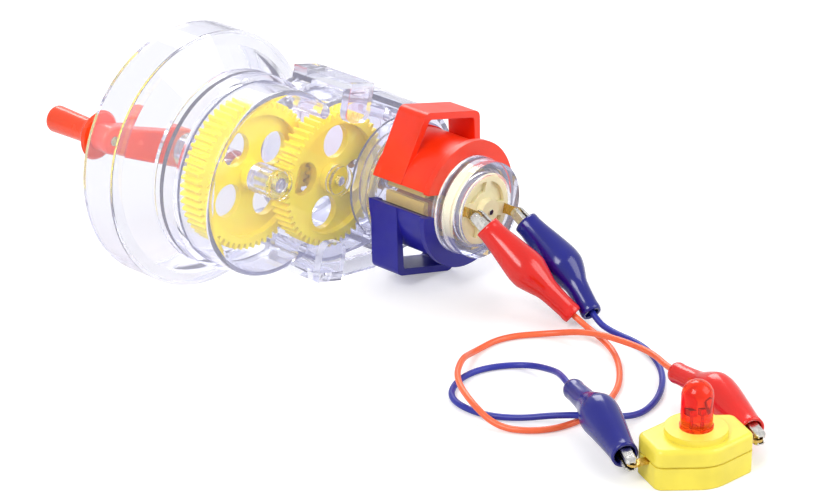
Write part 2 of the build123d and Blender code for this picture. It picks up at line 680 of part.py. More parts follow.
# ---- crank ----
knob_y = CRANK_Y - CRANK_THROW * cos(CRANK_TILT)
knob_z = CRANK_THROW * sin(CRANK_TILT)
with BuildSketch() as arm_shape:
    with Locations((CRANK_Y, 0)):
        Circle(ARM_HUB_R)
    with Locations((knob_y, knob_z)):
        Circle(ARM_END_R)
    make_hull()
with BuildPart() as crank_arm:
    bar(ARM_X[0], ARM_X[1], arm_shape.sketch)
    fillet(crank_arm.faces().sort_by(Axis.X)[0].edges(), 1)
    fillet(crank_arm.faces().sort_by(Axis.X)[-1].edges(), 1)
    rod(CRANK_SHAFT_X[0] - SEAT, ARM_X[1], CRANK_SHAFT_R + SEAT, y=CRANK_Y, mode=Mode.SUBTRACT)
    rod(ARM_X[0], CRANK_SHAFT_X[0], SCREW_R + SEAT, y=CRANK_Y, mode=Mode.SUBTRACT)
    rod(ARM_X[0], ARM_X[1], KNOB_PIN_R + SEAT, y=knob_y, z=knob_z, mode=Mode.SUBTRACT)
save(crank_arm.part, "crank_arm")

with BuildPart() as crank_screw:
    rod(ARM_X[0] - SCREW_HEAD, ARM_X[0] - SEAT, SCREW_HEAD_R, y=CRANK_Y)
    rod(ARM_X[0] - SCREW_HEAD / 2, ARM_X[1], SCREW_R, y=CRANK_Y)
    with BuildSketch(across(ARM_X[0] - SCREW_HEAD, CRANK_Y)) as driver:
        Rectangle(5, 0.9)
        Rectangle(0.9, 5)
    extrude(driver.sketch, amount=1, mode=Mode.SUBTRACT)
save(crank_screw.part, "crank_screw")

with BuildPart() as knob_pin:
    rod(KNOB_END + 3, ARM_X[1] + 0.3, KNOB_PIN_R, y=knob_y, z=knob_z)
save(knob_pin.part, "knob_pin")

with BuildPart() as knob:
    with BuildSketch(along(knob_y, knob_z)) as side_view:
        with BuildLine():
            back = ARM_X[0] - 0.3
            Polyline((back - 0.8, KNOB_FLARE_R), (back, KNOB_FLARE_R - 0.8), (back, 0),
                     (KNOB_END, 0), (KNOB_END, KNOB_R - KNOB_EDGE))
            RadiusArc((KNOB_END, KNOB_R - KNOB_EDGE), (KNOB_END + KNOB_EDGE, KNOB_R), KNOB_EDGE)
            Line((KNOB_END + KNOB_EDGE, KNOB_R), (back - 6.5, KNOB_R - 0.5))
            Spline((back - 6.5, KNOB_R - 0.5), (back - 3.6, KNOB_R + 1.2),
                   (back - 0.8, KNOB_FLARE_R), tangents=((1, 0), (0.5, 0.6)))
        make_face()
    revolve(side_view.sketch, axis=Axis(place(0, knob_y, knob_z), FORWARD))
    rod(KNOB_END + 2.9, ARM_X[0], KNOB_PIN_R + RUNNING, y=knob_y, z=knob_z, mode=Mode.SUBTRACT)
save(knob.part, "knob")

# ---- lamp ----
LAMP_PLANE = Plane(origin=(LAMP_AT[0], LAMP_AT[1], 0)).rotated((0, 0, LAMP_TURN))


def lamp_level(z):
    """The lamp's own plane at a height: its x runs from terminal to terminal."""
    return LAMP_PLANE.offset(z)


def lamp_outline(inset):
    """The lamp's outline: round in the middle, drawn out to a flat at either end."""
    with BuildSketch() as outline:
        Circle(LAMP_WIDTH / 2 - inset)
        Rectangle(LAMP_LENGTH - 2 * inset, LAMP_END - inset)
        make_hull()
        corners = outline.vertices().group_by(Axis.X)
        fillet(corners[0] + corners[-1], LAMP_CORNER - inset / 2)
    return outline.sketch


def raise_shape(z, height, shape, mode=Mode.ADD):
    """Raise a flat shape from a height on the lamp."""
    with BuildSketch(lamp_level(z)) as face:
        add(shape)
    extrude(face.sketch, amount=height, mode=mode)


with BuildSketch() as eyelet_shape:
    for side in (-1, 1):
        with Locations((side * (LAMP_LENGTH / 2 - 1), 0)):
            Rectangle(2 * EYELET_OUT, 1.5 * EYELET_R)
        with Locations((side * (LAMP_LENGTH / 2 + EYELET_OUT - EYELET_R / 2), 0)):
            Circle(EYELET_R)
            Circle(EYELET_HOLE_R, mode=Mode.SUBTRACT)
with BuildSketch() as leg_shape:
    with Locations((1.27, 0), (-1.27, 0)):
        Rectangle(0.6, 0.6)

lens_start = LAMP_TOP + LAMP_DISC
with BuildPart() as led_frame:
    raise_shape(LAMP_TOP - LAMP_WALL - 2, lens_start - LAMP_TOP + LAMP_WALL + 8, leg_shape.sketch)
    with BuildSketch(lamp_level(lens_start + 4.5)) as cup_shape:
        with Locations((-1.6, 0)):
            Rectangle(1.9, 2.4)
        with Locations((1.2, 0)):
            Rectangle(1.1, 1.8)
    extrude(cup_shape.sketch, amount=2.2)
save(led_frame.part, "led_frame")

with BuildPart() as led_lens:
    with BuildSketch(lamp_level(lens_start)):
        Circle(BULB_RIM_R)
    extrude(amount=BULB_RIM)
    with BuildSketch(lamp_level(lens_start)):
        Circle(BULB_R)
    extrude(amount=BULB_HEIGHT)
    fillet(led_lens.faces().sort_by(Axis.Z)[-1].edges(), BULB_R - 0.1)
    add(led_frame.part, mode=Mode.SUBTRACT)
save(led_lens.part, "led_lens")

with BuildPart() as lamp_base:
    raise_shape(0, LAMP_SPLIT, lamp_outline(0))
    raise_shape(LAMP_WALL, LAMP_SPLIT, lamp_outline(LAMP_WALL), mode=Mode.SUBTRACT)
    with BuildSketch(lamp_level(LAMP_SPLIT - EYELET_THICKNESS - SEAT)) as notch:
        Rectangle(2 * LAMP_LENGTH, 1.5 * EYELET_R + 2 * SEAT)
    extrude(notch.sketch, amount=2, mode=Mode.SUBTRACT)
save(lamp_base.part, "lamp_base")

with BuildPart() as lamp_cover:
    raise_shape(LAMP_SPLIT, LAMP_GROOVE, lamp_outline(0.5))
    raise_shape(LAMP_SPLIT + LAMP_GROOVE, LAMP_TOP - LAMP_SPLIT - LAMP_GROOVE, lamp_outline(0))
    with BuildSketch() as disc_shape:
        Circle(LAMP_DISC_R)
    fillet(lamp_cover.faces().sort_by(Axis.Z)[-1].edges(), LAMP_EDGE)
    raise_shape(LAMP_TOP, LAMP_DISC, disc_shape.sketch)
    raise_shape(LAMP_SPLIT, LAMP_TOP - LAMP_SPLIT - LAMP_WALL, lamp_outline(LAMP_WALL),
                mode=Mode.SUBTRACT)
    raise_shape(LAMP_SPLIT, LAMP_TOP, leg_shape.sketch, mode=Mode.SUBTRACT)
save(lamp_cover.part, "lamp_cover")

with BuildPart() as lamp_terminals:
    raise_shape(LAMP_SPLIT - EYELET_THICKNESS - SEAT / 2, EYELET_THICKNESS, eyelet_shape.sketch)
save(lamp_terminals.part, "lamp_terminals")


# ---- clips ----
class Grip:
    """Where a clip bites, and which way its jaws and its boot lie."""

    def __init__(self, bite, middle, tail, close, thickness):
        self.bite = Vector(*bite)
        self.middle = Vector(*middle)
        self.tail = Vector(*tail)
        self.out = (self.middle - self.bite).normalized()
        close = Vector(*close)
        tilt = asin(abs(close.dot(self.out)))
        self.close = (close - self.out * close.dot(self.out)).normalized()
        self.wide = self.out.cross(self.close)
        self.half_gap = thickness / 2 / cos(tilt) - JAW_TIP * tan(tilt) + 2 * SEAT
        self.plane = Plane(origin=self.bite, x_dir=self.out, z_dir=self.wide)

    def at(self, s, n=0.0, w=0.0):
        """A place by its distances along the clip, in its closing direction and across."""
        return self.bite + self.out * s + self.close * n + self.wide * w


def jaw(grip, side, cheek):
    """One sheet jaw: toothed tip, two cheeks about the pin, and a handle."""
    gap = grip.half_gap
    outline = [(JAW_TIP, gap), (0.8, gap), (4, gap + 1), (JAW_PIVOT, 2.5),
               (HANDLE_END, HANDLE_OUT - JAW_SHEET), (HANDLE_END, HANDLE_OUT), (JAW_PIVOT, 3.3),
               (4, gap + 1.7), (JAW_TIP, gap + 0.9)]
    with BuildPart() as piece:
        with BuildSketch(grip.plane) as sheet:
            with BuildLine():
                Polyline(*[(s, side * n) for s, n in outline], close=True)
            make_face()
        extrude(sheet.sketch, amount=JAW_HALF, both=True)
        with BuildSketch(grip.plane.offset(cheek)) as near:
            with BuildLine():
                Polyline((JAW_PIVOT - 3, side * 2.6), (JAW_PIVOT - 1.7, -side * 1.2),
                         (JAW_PIVOT + 1.7, -side * 1.2), (JAW_PIVOT + 3, side * 3.2), close=True)
            make_face()
        for height in (cheek, -cheek - 0.6):
            extrude(near.sketch.moved(Location(grip.wide * (height - cheek))), amount=0.6)
        with BuildSketch(grip.plane) as hole:
            with Locations((JAW_PIVOT, 0)):
                Circle(PIVOT_R + RUNNING)
        extrude(hole.sketch, amount=4, both=True, mode=Mode.SUBTRACT)
    return piece.part


def rivet(grip):
    """The pin that the two jaws turn on."""
    with BuildPart() as piece:
        with BuildSketch(grip.plane) as round_pin:
            with Locations((JAW_PIVOT, 0)):
                Circle(PIVOT_R)
        extrude(round_pin.sketch, amount=JAW_HALF + 0.5, both=True)
    return piece.part


def jaw_spring(grip):
    """The spring about the pin: a coil and two legs that push the handles apart."""
    with BuildPart() as piece:
        with BuildSketch(grip.plane) as coil:
            with Locations((JAW_PIVOT, 0)):
                Circle(1.5)
                Circle(PIVOT_R + 2 * RUNNING, mode=Mode.SUBTRACT)
            for side in (-1, 1):
                with BuildLine():
                    Polyline((JAW_PIVOT, side * 0.95), (HANDLE_END - 3, side * 3.3),
                             (HANDLE_END - 3, side * 3.8), (JAW_PIVOT, side * 1.45), close=True)
                make_face()
        extrude(coil.sketch, amount=0.35, both=True)
    return piece.part


def boot(grip):
    """A hollow vinyl boot: open at the mouth, widest over the handles, narrow at the cord."""
    turn = (grip.tail - grip.middle).normalized()
    blend = (grip.out + turn).normalized()
    stations = [(grip.at(BOOT_MOUTH), grip.out, BOOT_MOUTH_R),
                (grip.at(BOOT_MOUTH + 8), grip.out, BOOT_MOUTH_R + 1.2),
                (grip.middle, blend, BOOT_WIDE_R),
                (grip.middle + turn * 10, turn, BOOT_TAIL_R + 1.2),
                (grip.tail, turn, BOOT_TAIL_R)]
    with BuildPart() as piece:
        for shrink, mode in ((0, Mode.ADD), (BOOT_WALL, Mode.SUBTRACT)):
            rings = []
            for place_at, way, radius in stations:
                stretch = -2 * BOOT_WALL if shrink and place_at is grip.tail else 0
                start = -0.5 if shrink and way is grip.out and radius == BOOT_MOUTH_R else 0
                plane = Plane(origin=place_at + way * (stretch + start), x_dir=grip.wide,
                              z_dir=way)
                with BuildSketch(plane) as ring:
                    Circle(radius - shrink)
                rings.append(ring.sketch)
            loft(rings, mode=mode)
        with BuildSketch(Plane(origin=grip.tail + turn, x_dir=grip.wide, z_dir=turn)) as eye:
            Circle(CORD_R + SEAT)
        extrude(eye.sketch, amount=-8, mode=Mode.SUBTRACT)
    return piece.part


TAB_NORMAL = SIDE
LAMP_AXIS = Vector(cos(radians(LAMP_TURN)), sin(radians(LAMP_TURN)))
EYELET_AT = LAMP_LENGTH / 2 + EYELET_OUT
eyelet_mid = LAMP_SPLIT - EYELET_THICKNESS / 2 - SEAT / 2
far_eyelet = Vector(*LAMP_AT, eyelet_mid) + LAMP_AXIS * EYELET_AT
near_eyelet = Vector(*LAMP_AT, eyelet_mid) - LAMP_AXIS * EYELET_AT
tab_reach = TAB_END - TAB_HEIGHT / 2
GRIPS = {
    "red_motor": Grip(tuple(place(tab_reach, -TAB_Y)), (79.9, 31.0, 17.9), (96.5, 36.1, 4.6),
                      tuple(TAB_NORMAL), TAB_THICKNESS),
    "blue_motor": Grip(tuple(place(tab_reach, TAB_Y)), (83.0, 47.0, 15.6), (99.9, 41.8, 4.4),
                       tuple(TAB_NORMAL), TAB_THICKNESS),
    "blue_lamp": Grip(tuple(near_eyelet), (156.4, -21.6, 10.7), (137.6, -12.8, 9.9),
                      (0, 0, 1), EYELET_THICKNESS),
    "red_lamp": Grip(tuple(far_eyelet), (172.9, 16.3, 9.8), (152.6, 20.3, 8.6),
                     (0, 0, 1), EYELET_THICKNESS),
}
for name, grip in GRIPS.items():
    save(boot(grip), f"{name}_boot")
    save(jaw(grip, -1, JAW_HALF - 0.6), f"{name}_fixed_jaw")
    save(jaw(grip, 1, JAW_HALF - 1.3), f"{name}_moving_jaw")
    save(jaw_spring(grip), f"{name}_spring")
    save(rivet(grip), f"{name}_pin")

# ---- leads ----
TABLE_Z = CORD_R + 0.02
LOW_HUMP = TABLE_Z + 2.6
HIGH_HUMP = TABLE_Z + 4.4
RED_POINTS = [
    (113.5, 33.4, TABLE_Z), (123.0, 27.2, TABLE_Z), (131.8, 18.2, TABLE_Z),
    (138.2, 8.8, TABLE_Z), (142.4, -3.5, TABLE_Z), (142.8, -19.5, TABLE_Z),
    (137.0, -30.6, TABLE_Z), (126.5, -36.2, TABLE_Z), (114.5, -35.2, HIGH_HUMP),
    (100.0, -26.2, HIGH_HUMP), (92.0, -14.5, HIGH_HUMP), (85.9, -2.0, TABLE_Z),
    (85.2, 13.0, TABLE_Z), (95.0, 26.0, TABLE_Z), (109.5, 29.0, HIGH_HUMP),
    (124.0, 30.6, HIGH_HUMP + 0.4), (138.0, 27.4, HIGH_HUMP + 2)]
BLUE_POINTS = [
    (109.5, 40.8, TABLE_Z), (121.0, 40.4, TABLE_Z), (131.5, 36.2, TABLE_Z),
    (143.0, 26.8, TABLE_Z), (151.8, 13.0, TABLE_Z), (154.4, -0.5, TABLE_Z),
    (149.0, -11.6, LOW_HUMP), (138.5, -20.4, LOW_HUMP), (127.5, -27.6, TABLE_Z),
    (116.5, -33.6, TABLE_Z), (102.5, -32.2, TABLE_Z), (95.4, -20.6, TABLE_Z),
    (95.8, -8.0, TABLE_Z), (104.5, 3.6, TABLE_Z), (119.0, 0.8, TABLE_Z + 3.6),
    (129.0, -7.2, TABLE_Z + 7.6)]


def lead(start, points, end):
    """A round cord from inside one boot to inside another, in straight runs and arcs."""
    first = (start.tail - start.middle).normalized()
    last = (end.tail - end.middle).normalized()
    path = [start.tail - first * 6, start.tail + first * 3.2]
    path += [Vector(*point) for point in points]
    path += [end.tail + last * 3.2, end.tail - last * 6]
    radii = []
    for before, here, after in zip(path, path[1:], path[2:]):
        coming, going = here - before, after - here
        half_turn = radians(coming.get_angle(going)) / 2
        radii.append(0.45 * min(coming.length, going.length) / tan(half_turn))
    with BuildPart() as piece:
        with BuildLine() as route:
            FilletPolyline(*path, radius=radii)
        with BuildSketch(Plane(origin=path[0], z_dir=path[1] - path[0])):
            Circle(CORD_R)
        sweep()
    length = route.wires()[0].length
    print("radii", [round(radius, 1) for radius in radii], "length", round(length, 1),
          "volume", round(piece.part.volume, 1), "of", round(pi * CORD_R ** 2 * length, 1))
    return piece.part


save(lead(GRIPS["red_motor"], RED_POINTS, GRIPS["red_lamp"]), "red_lead")
save(lead(GRIPS["blue_motor"], BLUE_POINTS, GRIPS["blue_lamp"]), "blue_lead")
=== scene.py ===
"""Looks for a hand-cranked demonstration motor: finishes, clip jaws, vinyl boots, leads, stage.

Laid out as an add-on. Metres in the part's own frame: +Z up, +X along the shafts.
"""

import json

import bmesh
import bpy
import numpy as np
from bpy.props import FloatProperty, FloatVectorProperty, PointerProperty
from mathutils import Matrix, Vector


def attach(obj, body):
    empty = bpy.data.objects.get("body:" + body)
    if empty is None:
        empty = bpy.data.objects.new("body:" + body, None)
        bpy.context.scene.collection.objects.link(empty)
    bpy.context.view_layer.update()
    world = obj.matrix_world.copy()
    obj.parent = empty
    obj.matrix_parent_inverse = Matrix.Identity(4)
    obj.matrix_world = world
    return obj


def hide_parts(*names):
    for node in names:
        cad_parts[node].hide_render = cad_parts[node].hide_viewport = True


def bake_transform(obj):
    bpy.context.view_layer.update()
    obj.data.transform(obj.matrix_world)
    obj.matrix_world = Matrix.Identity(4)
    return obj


bl_info = {
    "name": "Demonstration motor looks",
    "version": (1, 1, 0),
    "blender": (4, 5, 0),
    "location": "3D Viewport > Sidebar > Motor",
    "description": "Dresses the demonstration motor with finishes, jaws, boots, leads and a stage",
    "category": "Object",
}

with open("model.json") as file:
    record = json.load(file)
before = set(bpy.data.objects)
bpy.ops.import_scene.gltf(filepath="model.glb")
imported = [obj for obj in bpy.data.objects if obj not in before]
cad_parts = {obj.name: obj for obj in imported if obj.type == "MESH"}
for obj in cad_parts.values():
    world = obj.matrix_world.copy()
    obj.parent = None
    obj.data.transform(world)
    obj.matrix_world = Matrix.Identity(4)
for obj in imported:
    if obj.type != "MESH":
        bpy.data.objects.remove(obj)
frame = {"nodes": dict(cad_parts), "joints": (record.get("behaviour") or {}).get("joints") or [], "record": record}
MM = 0.001
ROOT = "stand"

# ---- where the clips and leads lie ----
# Middle and tail of each vinyl boot, in millimetres.
BOOTS_AT = {
    "red_motor": ((79.9, 31.0, 17.9), (96.5, 36.1, 4.6)),
    "blue_motor": ((83.0, 47.0, 15.6), (99.9, 41.8, 4.4)),
    "blue_lamp": ((156.4, -21.6, 10.7), (137.6, -12.8, 9.9)),
    "red_lamp": ((172.9, 16.3, 9.8), (152.6, 20.3, 8.6)),
}
JAW_PIVOT = 16.0                   # from the teeth to the pin
TOOTH = 1.1                        # from one jaw tooth to the next
BEND_HALF = 5.0                    # half the length over which a boot bends
INSIDE_BOOT = 6.0                  # how far a cord reaches into its boot's tail
PAST_BOOT = 3.2                    # how far it runs straight on outside
TABLE = 1.07                       # a cord's middle where it lies on the table
UNDER = TABLE + 2.6                # a low rise over the other cord, beneath a boot
OVER = TABLE + 4.4                 # where it passes over another cord
ROUTES = {
    "red_lead": ("red_motor", "red_lamp", (
        (113.5, 33.4, TABLE), (123.0, 27.2, TABLE), (131.8, 18.2, TABLE), (138.2, 8.8, TABLE),
        (142.4, -3.5, TABLE), (142.8, -19.5, TABLE), (137.0, -30.6, TABLE),
        (126.5, -36.2, TABLE), (114.5, -35.2, OVER), (100.0, -26.2, OVER),
        (92.0, -14.5, OVER), (85.9, -2.0, TABLE), (85.2, 13.0, TABLE), (95.0, 26.0, TABLE),
        (109.5, 29.0, OVER), (124.0, 30.6, OVER + 0.4), (138.0, 27.4, OVER + 2))),
    "blue_lead": ("blue_motor", "blue_lamp", (
        (109.5, 40.8, TABLE), (121.0, 40.4, TABLE), (131.5, 36.2, TABLE), (143.0, 26.8, TABLE),
        (151.8, 13.0, TABLE), (154.4, -0.5, TABLE), (149.0, -11.6, UNDER),
        (138.5, -20.4, UNDER), (127.5, -27.6, TABLE), (116.5, -33.6, TABLE),
        (102.5, -32.2, TABLE), (95.4, -20.6, TABLE), (95.8, -8.0, TABLE), (104.5, 3.6, TABLE),
        (119.0, 0.8, TABLE + 3.6), (129.0, -7.2, TABLE + 7.6))),
}

# Place and width of each lamp; its power is a setting of the same name.
LAMPS = {
    "key": ((0.15, -0.75, 0.75), 0.5),
    "fill": ((0.7, 0.35, 0.5), 0.6),
    "back": ((-0.5, 0.5, 0.7), 0.5),
}
LAMPS_AIM = Vector((0.05, 0, 0.03))
CAMERA_AT = Vector((0.6921, -0.6778, 0.4516))
CAMERA_RIGHT = Vector((0.7314, 0.682, 0.0))
CAMERA_UP = Vector((-0.2828, 0.3033, 0.910))


def linear(code):
    """An sRGB hex colour as linear red, green and blue."""
    parts = np.array([int(code[i:i + 2], 16) / 255 for i in (1, 3, 5)])
    low = parts <= 0.04045
    return tuple(np.where(low, parts / 12.92, ((parts + 0.055) / 1.055) ** 2.4).tolist())


def colour(name, code):
    """A colour property with its hex default."""
    return FloatVectorProperty(name=name, description=f"Colour of the {name.lower()}",
                               subtype="COLOR", size=3, min=0, max=1, default=linear(code))


def length(name, description, millimetres):
    """A length property with its default in millimetres."""
    return FloatProperty(name=name, description=description, unit="LENGTH", precision=5,
                         min=0, default=millimetres * MM)


class MotorColours(bpy.types.PropertyGroup):
    """Colours of the motor's finishes."""
    clear_face: colour("Clear plastic seen square on", "#f4f5fb")
    clear_rim: colour("Clear plastic seen along its wall", "#c9c7e8")
    gear: colour("Gears", "#ffe400")
    crank: colour("Crank arm and knob", "#fa4410")
    red_holder: colour("Red magnet holder", "#fb3206")
    blue_holder: colour("Blue magnet holder", "#151092")
    cream: colour("Brush holder", "#f0e6bc")
    core: colour("Armature core", "#f4cf5e")
    lamp: colour("Lamp holder", "#fae650")
    led: colour("LED lens", "#ff3a18")
    red_boot: colour("Red vinyl boots", "#e6180c")
    blue_boot: colour("Blue vinyl boots", "#030b80")
    red_cord: colour("Red cord", "#fb6c3c")
    blue_cord: colour("Blue cord", "#222a9e")


class MotorClips(bpy.types.PropertyGroup):
    """Sizes of the clips' jaws and vinyl boots."""
    mouth_at: length("Mouth", "From the teeth to the boot's mouth", 4.6)
    mouth_radius: length("Mouth radius", "Outside radius of the boot's mouth", 4.3)
    wide_radius: length("Widest radius", "Outside radius where the boot is widest", 7.0)
    tail_radius: length("Tail radius", "Outside radius of the boot's tail", 3.3)
    wall: length("Wall", "Thickness of the boot's vinyl", 0.9)
    sheet: length("Jaw sheet", "Thickness of the jaws' steel", 0.45)
    half_width: length("Jaw half width", "Half the width of a jaw", 1.8)


class MotorLeads(bpy.types.PropertyGroup):
    """Sizes of the two leads."""
    cord: length("Cord", "Outside diameter of the cord", 2.1)
    red_length: length("Red lead", "Length of the red lead along its middle", 265.7)
    blue_length: length("Blue lead", "Length of the blue lead along its middle", 231.3)


class MotorStage(bpy.types.PropertyGroup):
    """Table, lamps and lens."""
    floor: colour("Table card", "#e6e6e6")
    key: FloatProperty(name="Key lamp", description="Power of the key lamp", unit="POWER",
                       min=0, default=6.0)
    fill: FloatProperty(name="Fill lamp", description="Power of the fill lamp", unit="POWER",
                        min=0, default=3.5)
    back: FloatProperty(name="Back lamp", description="Power of the back lamp", unit="POWER",
                        min=0, default=4.0)
    lens: FloatProperty(name="Lens", description="Focal length in millimetres", min=1,
                        default=132.13)


# ---- finishes ----
def add_node(tree, kind, settings=None, links=None):
    """Add a node with its settings, and link other nodes' sockets to its inputs."""
    node = tree.nodes.new(kind)
    for key, value in (settings or {}).items():
        if key in node.inputs:
            node.inputs[key].default_value = value
        else:
            setattr(node, key, value)
    for key, source in (links or {}).items():
        tree.links.new(source, node.inputs[key])
    return node


def start_finish(name):
    """A new material with its tree and its Principled shader."""
    material = bpy.data.materials.new(name)
    material.use_nodes = True
    return material, material.node_tree, material.node_tree.nodes["Principled BSDF"]


def shade(rgb, factor):
    """A linear colour made darker or lighter, with alpha one."""
    return tuple(min(1.0, float(c) * factor) for c in rgb) + (1.0,)


def two_tones(tree, pattern, low, high, start=0.3, end=0.7):
    """Carry a pattern over into a slow change between two tones of a colour."""
    tones = add_node(tree, "ShaderNodeValToRGB", links={"Fac": pattern})
    tones.color_ramp.elements[0].position = start
    tones.color_ramp.elements[0].color = low
    tones.color_ramp.elements[1].position = end
    tones.color_ramp.elements[1].color = high
    return tones.outputs["Color"]


def moulded(name, rgb, roughness, coat, edge, glow=0.0, spread=0.9):
    """Moulded plastic: faint flow marks in tone and gloss, fine grain, softly broken edges."""
    material, tree, shader = start_finish(name)
    place = add_node(tree, "ShaderNodeTexCoord").outputs["Object"]
    # Flow marks about 11 mm apart, grain about 0.7 mm, which is coarser than real so it shows.
    flow = add_node(tree, "ShaderNodeTexNoise", {"Scale": 90, "Detail": 3}, {"Vector": place})
    grain = add_node(tree, "ShaderNodeTexNoise", {"Scale": 1400, "Detail": 2}, {"Vector": place})
    tree.links.new(two_tones(tree, flow.outputs["Fac"], shade(rgb, spread), shade(rgb, 1.06)),
                   shader.inputs["Base Color"])
    gloss = add_node(tree, "ShaderNodeMapRange", {"To Min": roughness * 0.75,
                     "To Max": roughness * 1.3}, {"Value": flow.outputs["Fac"]})
    tree.links.new(gloss.outputs["Result"], shader.inputs["Roughness"])
    shader.inputs["Coat Weight"].default_value = coat
    shader.inputs["Coat Roughness"].default_value = 0.08
    shader.inputs["Subsurface Weight"].default_value = glow
    shader.inputs["Subsurface Scale"].default_value = 1.5 * MM
    relief = add_node(tree, "ShaderNodeBump", {"Distance": 0.02 * MM, "Strength": 0.5},
                      {"Height": grain.outputs["Fac"]})
    if edge:
        broken = add_node(tree, "ShaderNodeBevel", {"Radius": edge, "samples": 4})
        tree.links.new(broken.outputs["Normal"], relief.inputs["Normal"])
    tree.links.new(relief.outputs["Normal"], shader.inputs["Normal"])
    return material


def drawn(name, rgb, roughness, stretch=(1, 1, 1), metallic=1.0):
    """Rolled or drawn metal: fine marks in tone and gloss along the way it was worked."""
    material, tree, shader = start_finish(name)
    place = add_node(tree, "ShaderNodeTexCoord").outputs["Object"]
    along = add_node(tree, "ShaderNodeMapping", {"Scale": stretch}, {"Vector": place})
    # Marks about 1 mm apart, coarser than real so that they show.
    marks = add_node(tree, "ShaderNodeTexNoise", {"Scale": 900, "Detail": 4},
                     {"Vector": along.outputs["Vector"]})
    tree.links.new(two_tones(tree, marks.outputs["Fac"], shade(rgb, 0.72), shade(rgb, 1.1)),
                   shader.inputs["Base Color"])
    gloss = add_node(tree, "ShaderNodeMapRange", {"To Min": roughness * 0.7,
                     "To Max": roughness * 1.4}, {"Value": marks.outputs["Fac"]})
    tree.links.new(gloss.outputs["Result"], shader.inputs["Roughness"])
    shader.inputs["Metallic"].default_value = metallic
    broken = add_node(tree, "ShaderNodeBevel", {"Radius": 0.15 * MM, "samples": 4})
    relief = add_node(tree, "ShaderNodeBump", {"Distance": 0.015 * MM, "Strength": 0.6},
                      {"Height": marks.outputs["Fac"], "Normal": broken.outputs["Normal"]})
    tree.links.new(relief.outputs["Normal"], shader.inputs["Normal"])
    return material


def see_through(name, face, rim, roughness, body, glow):
    """Clear moulded plastic: bends light, tints where seen edge on, glows faintly as painted haze."""
    material, tree, shader = start_finish(name)
    place = add_node(tree, "ShaderNodeTexCoord").outputs["Object"]
    slant = add_node(tree, "ShaderNodeLayerWeight", {"Blend": 0.35})
    tree.links.new(two_tones(tree, slant.outputs["Facing"], face, rim, 0.35, 0.95),
                   shader.inputs["Base Color"])
    flow = add_node(tree, "ShaderNodeTexNoise", {"Scale": 60, "Detail": 2}, {"Vector": place})
    gloss = add_node(tree, "ShaderNodeMapRange", {"To Min": roughness * 0.5,
                     "To Max": roughness}, {"Value": flow.outputs["Fac"]})
    tree.links.new(gloss.outputs["Result"], shader.inputs["Roughness"])
    shader.inputs["Transmission Weight"].default_value = body
    shader.inputs["IOR"].default_value = 1.38
    # A faint glow in the rim colour all over: painted light that stands in for a milky haze.
    shader.inputs["Emission Color"].default_value = rim
    shader.inputs["Emission Strength"].default_value = glow
    rays = add_node(tree, "ShaderNodeLightPath")
    # Clear plastic throws almost no shadow.
    shadow = add_node(tree, "ShaderNodeMapRange", {"To Min": 1.0, "To Max": 0.06},
                      {"Value": rays.outputs["Is Shadow Ray"]})
    tree.links.new(shadow.outputs["Result"], shader.inputs["Alpha"])
    return material


def wound(name, rgb):
    """Enamelled copper wire laid turn by turn, 0.35 mm apart, with painted shade between turns."""
    material, tree, shader = start_finish(name)
    place = add_node(tree, "ShaderNodeTexCoord").outputs["Object"]
    turns = add_node(tree, "ShaderNodeTexWave", {"Scale": 900, "Distortion": 1.5},
                     {"Vector": place})
    # Painted shade: 0.4 of the copper in the grooves where the bump sinks the turns; a little painted light, 1.1,
    # on the crests.
    tree.links.new(two_tones(tree, turns.outputs["Fac"], shade(rgb, 0.4), shade(rgb, 1.1)),
                   shader.inputs["Base Color"])
    shader.inputs["Metallic"].default_value = 0.85
    shader.inputs["Roughness"].default_value = 0.3
    relief = add_node(tree, "ShaderNodeBump", {"Distance": 0.12 * MM, "Strength": 1.0},
                      {"Height": turns.outputs["Fac"]})
    tree.links.new(relief.outputs["Normal"], shader.inputs["Normal"])
    return material


def finish(slot):
    """The material of a slot, made the first time that it is asked for."""
    made = bpy.data.materials.get(FINISHES[slot][0])
    return made or FINISHES[slot][1](FINISHES[slot][0], bpy.context.scene.motor_colours)


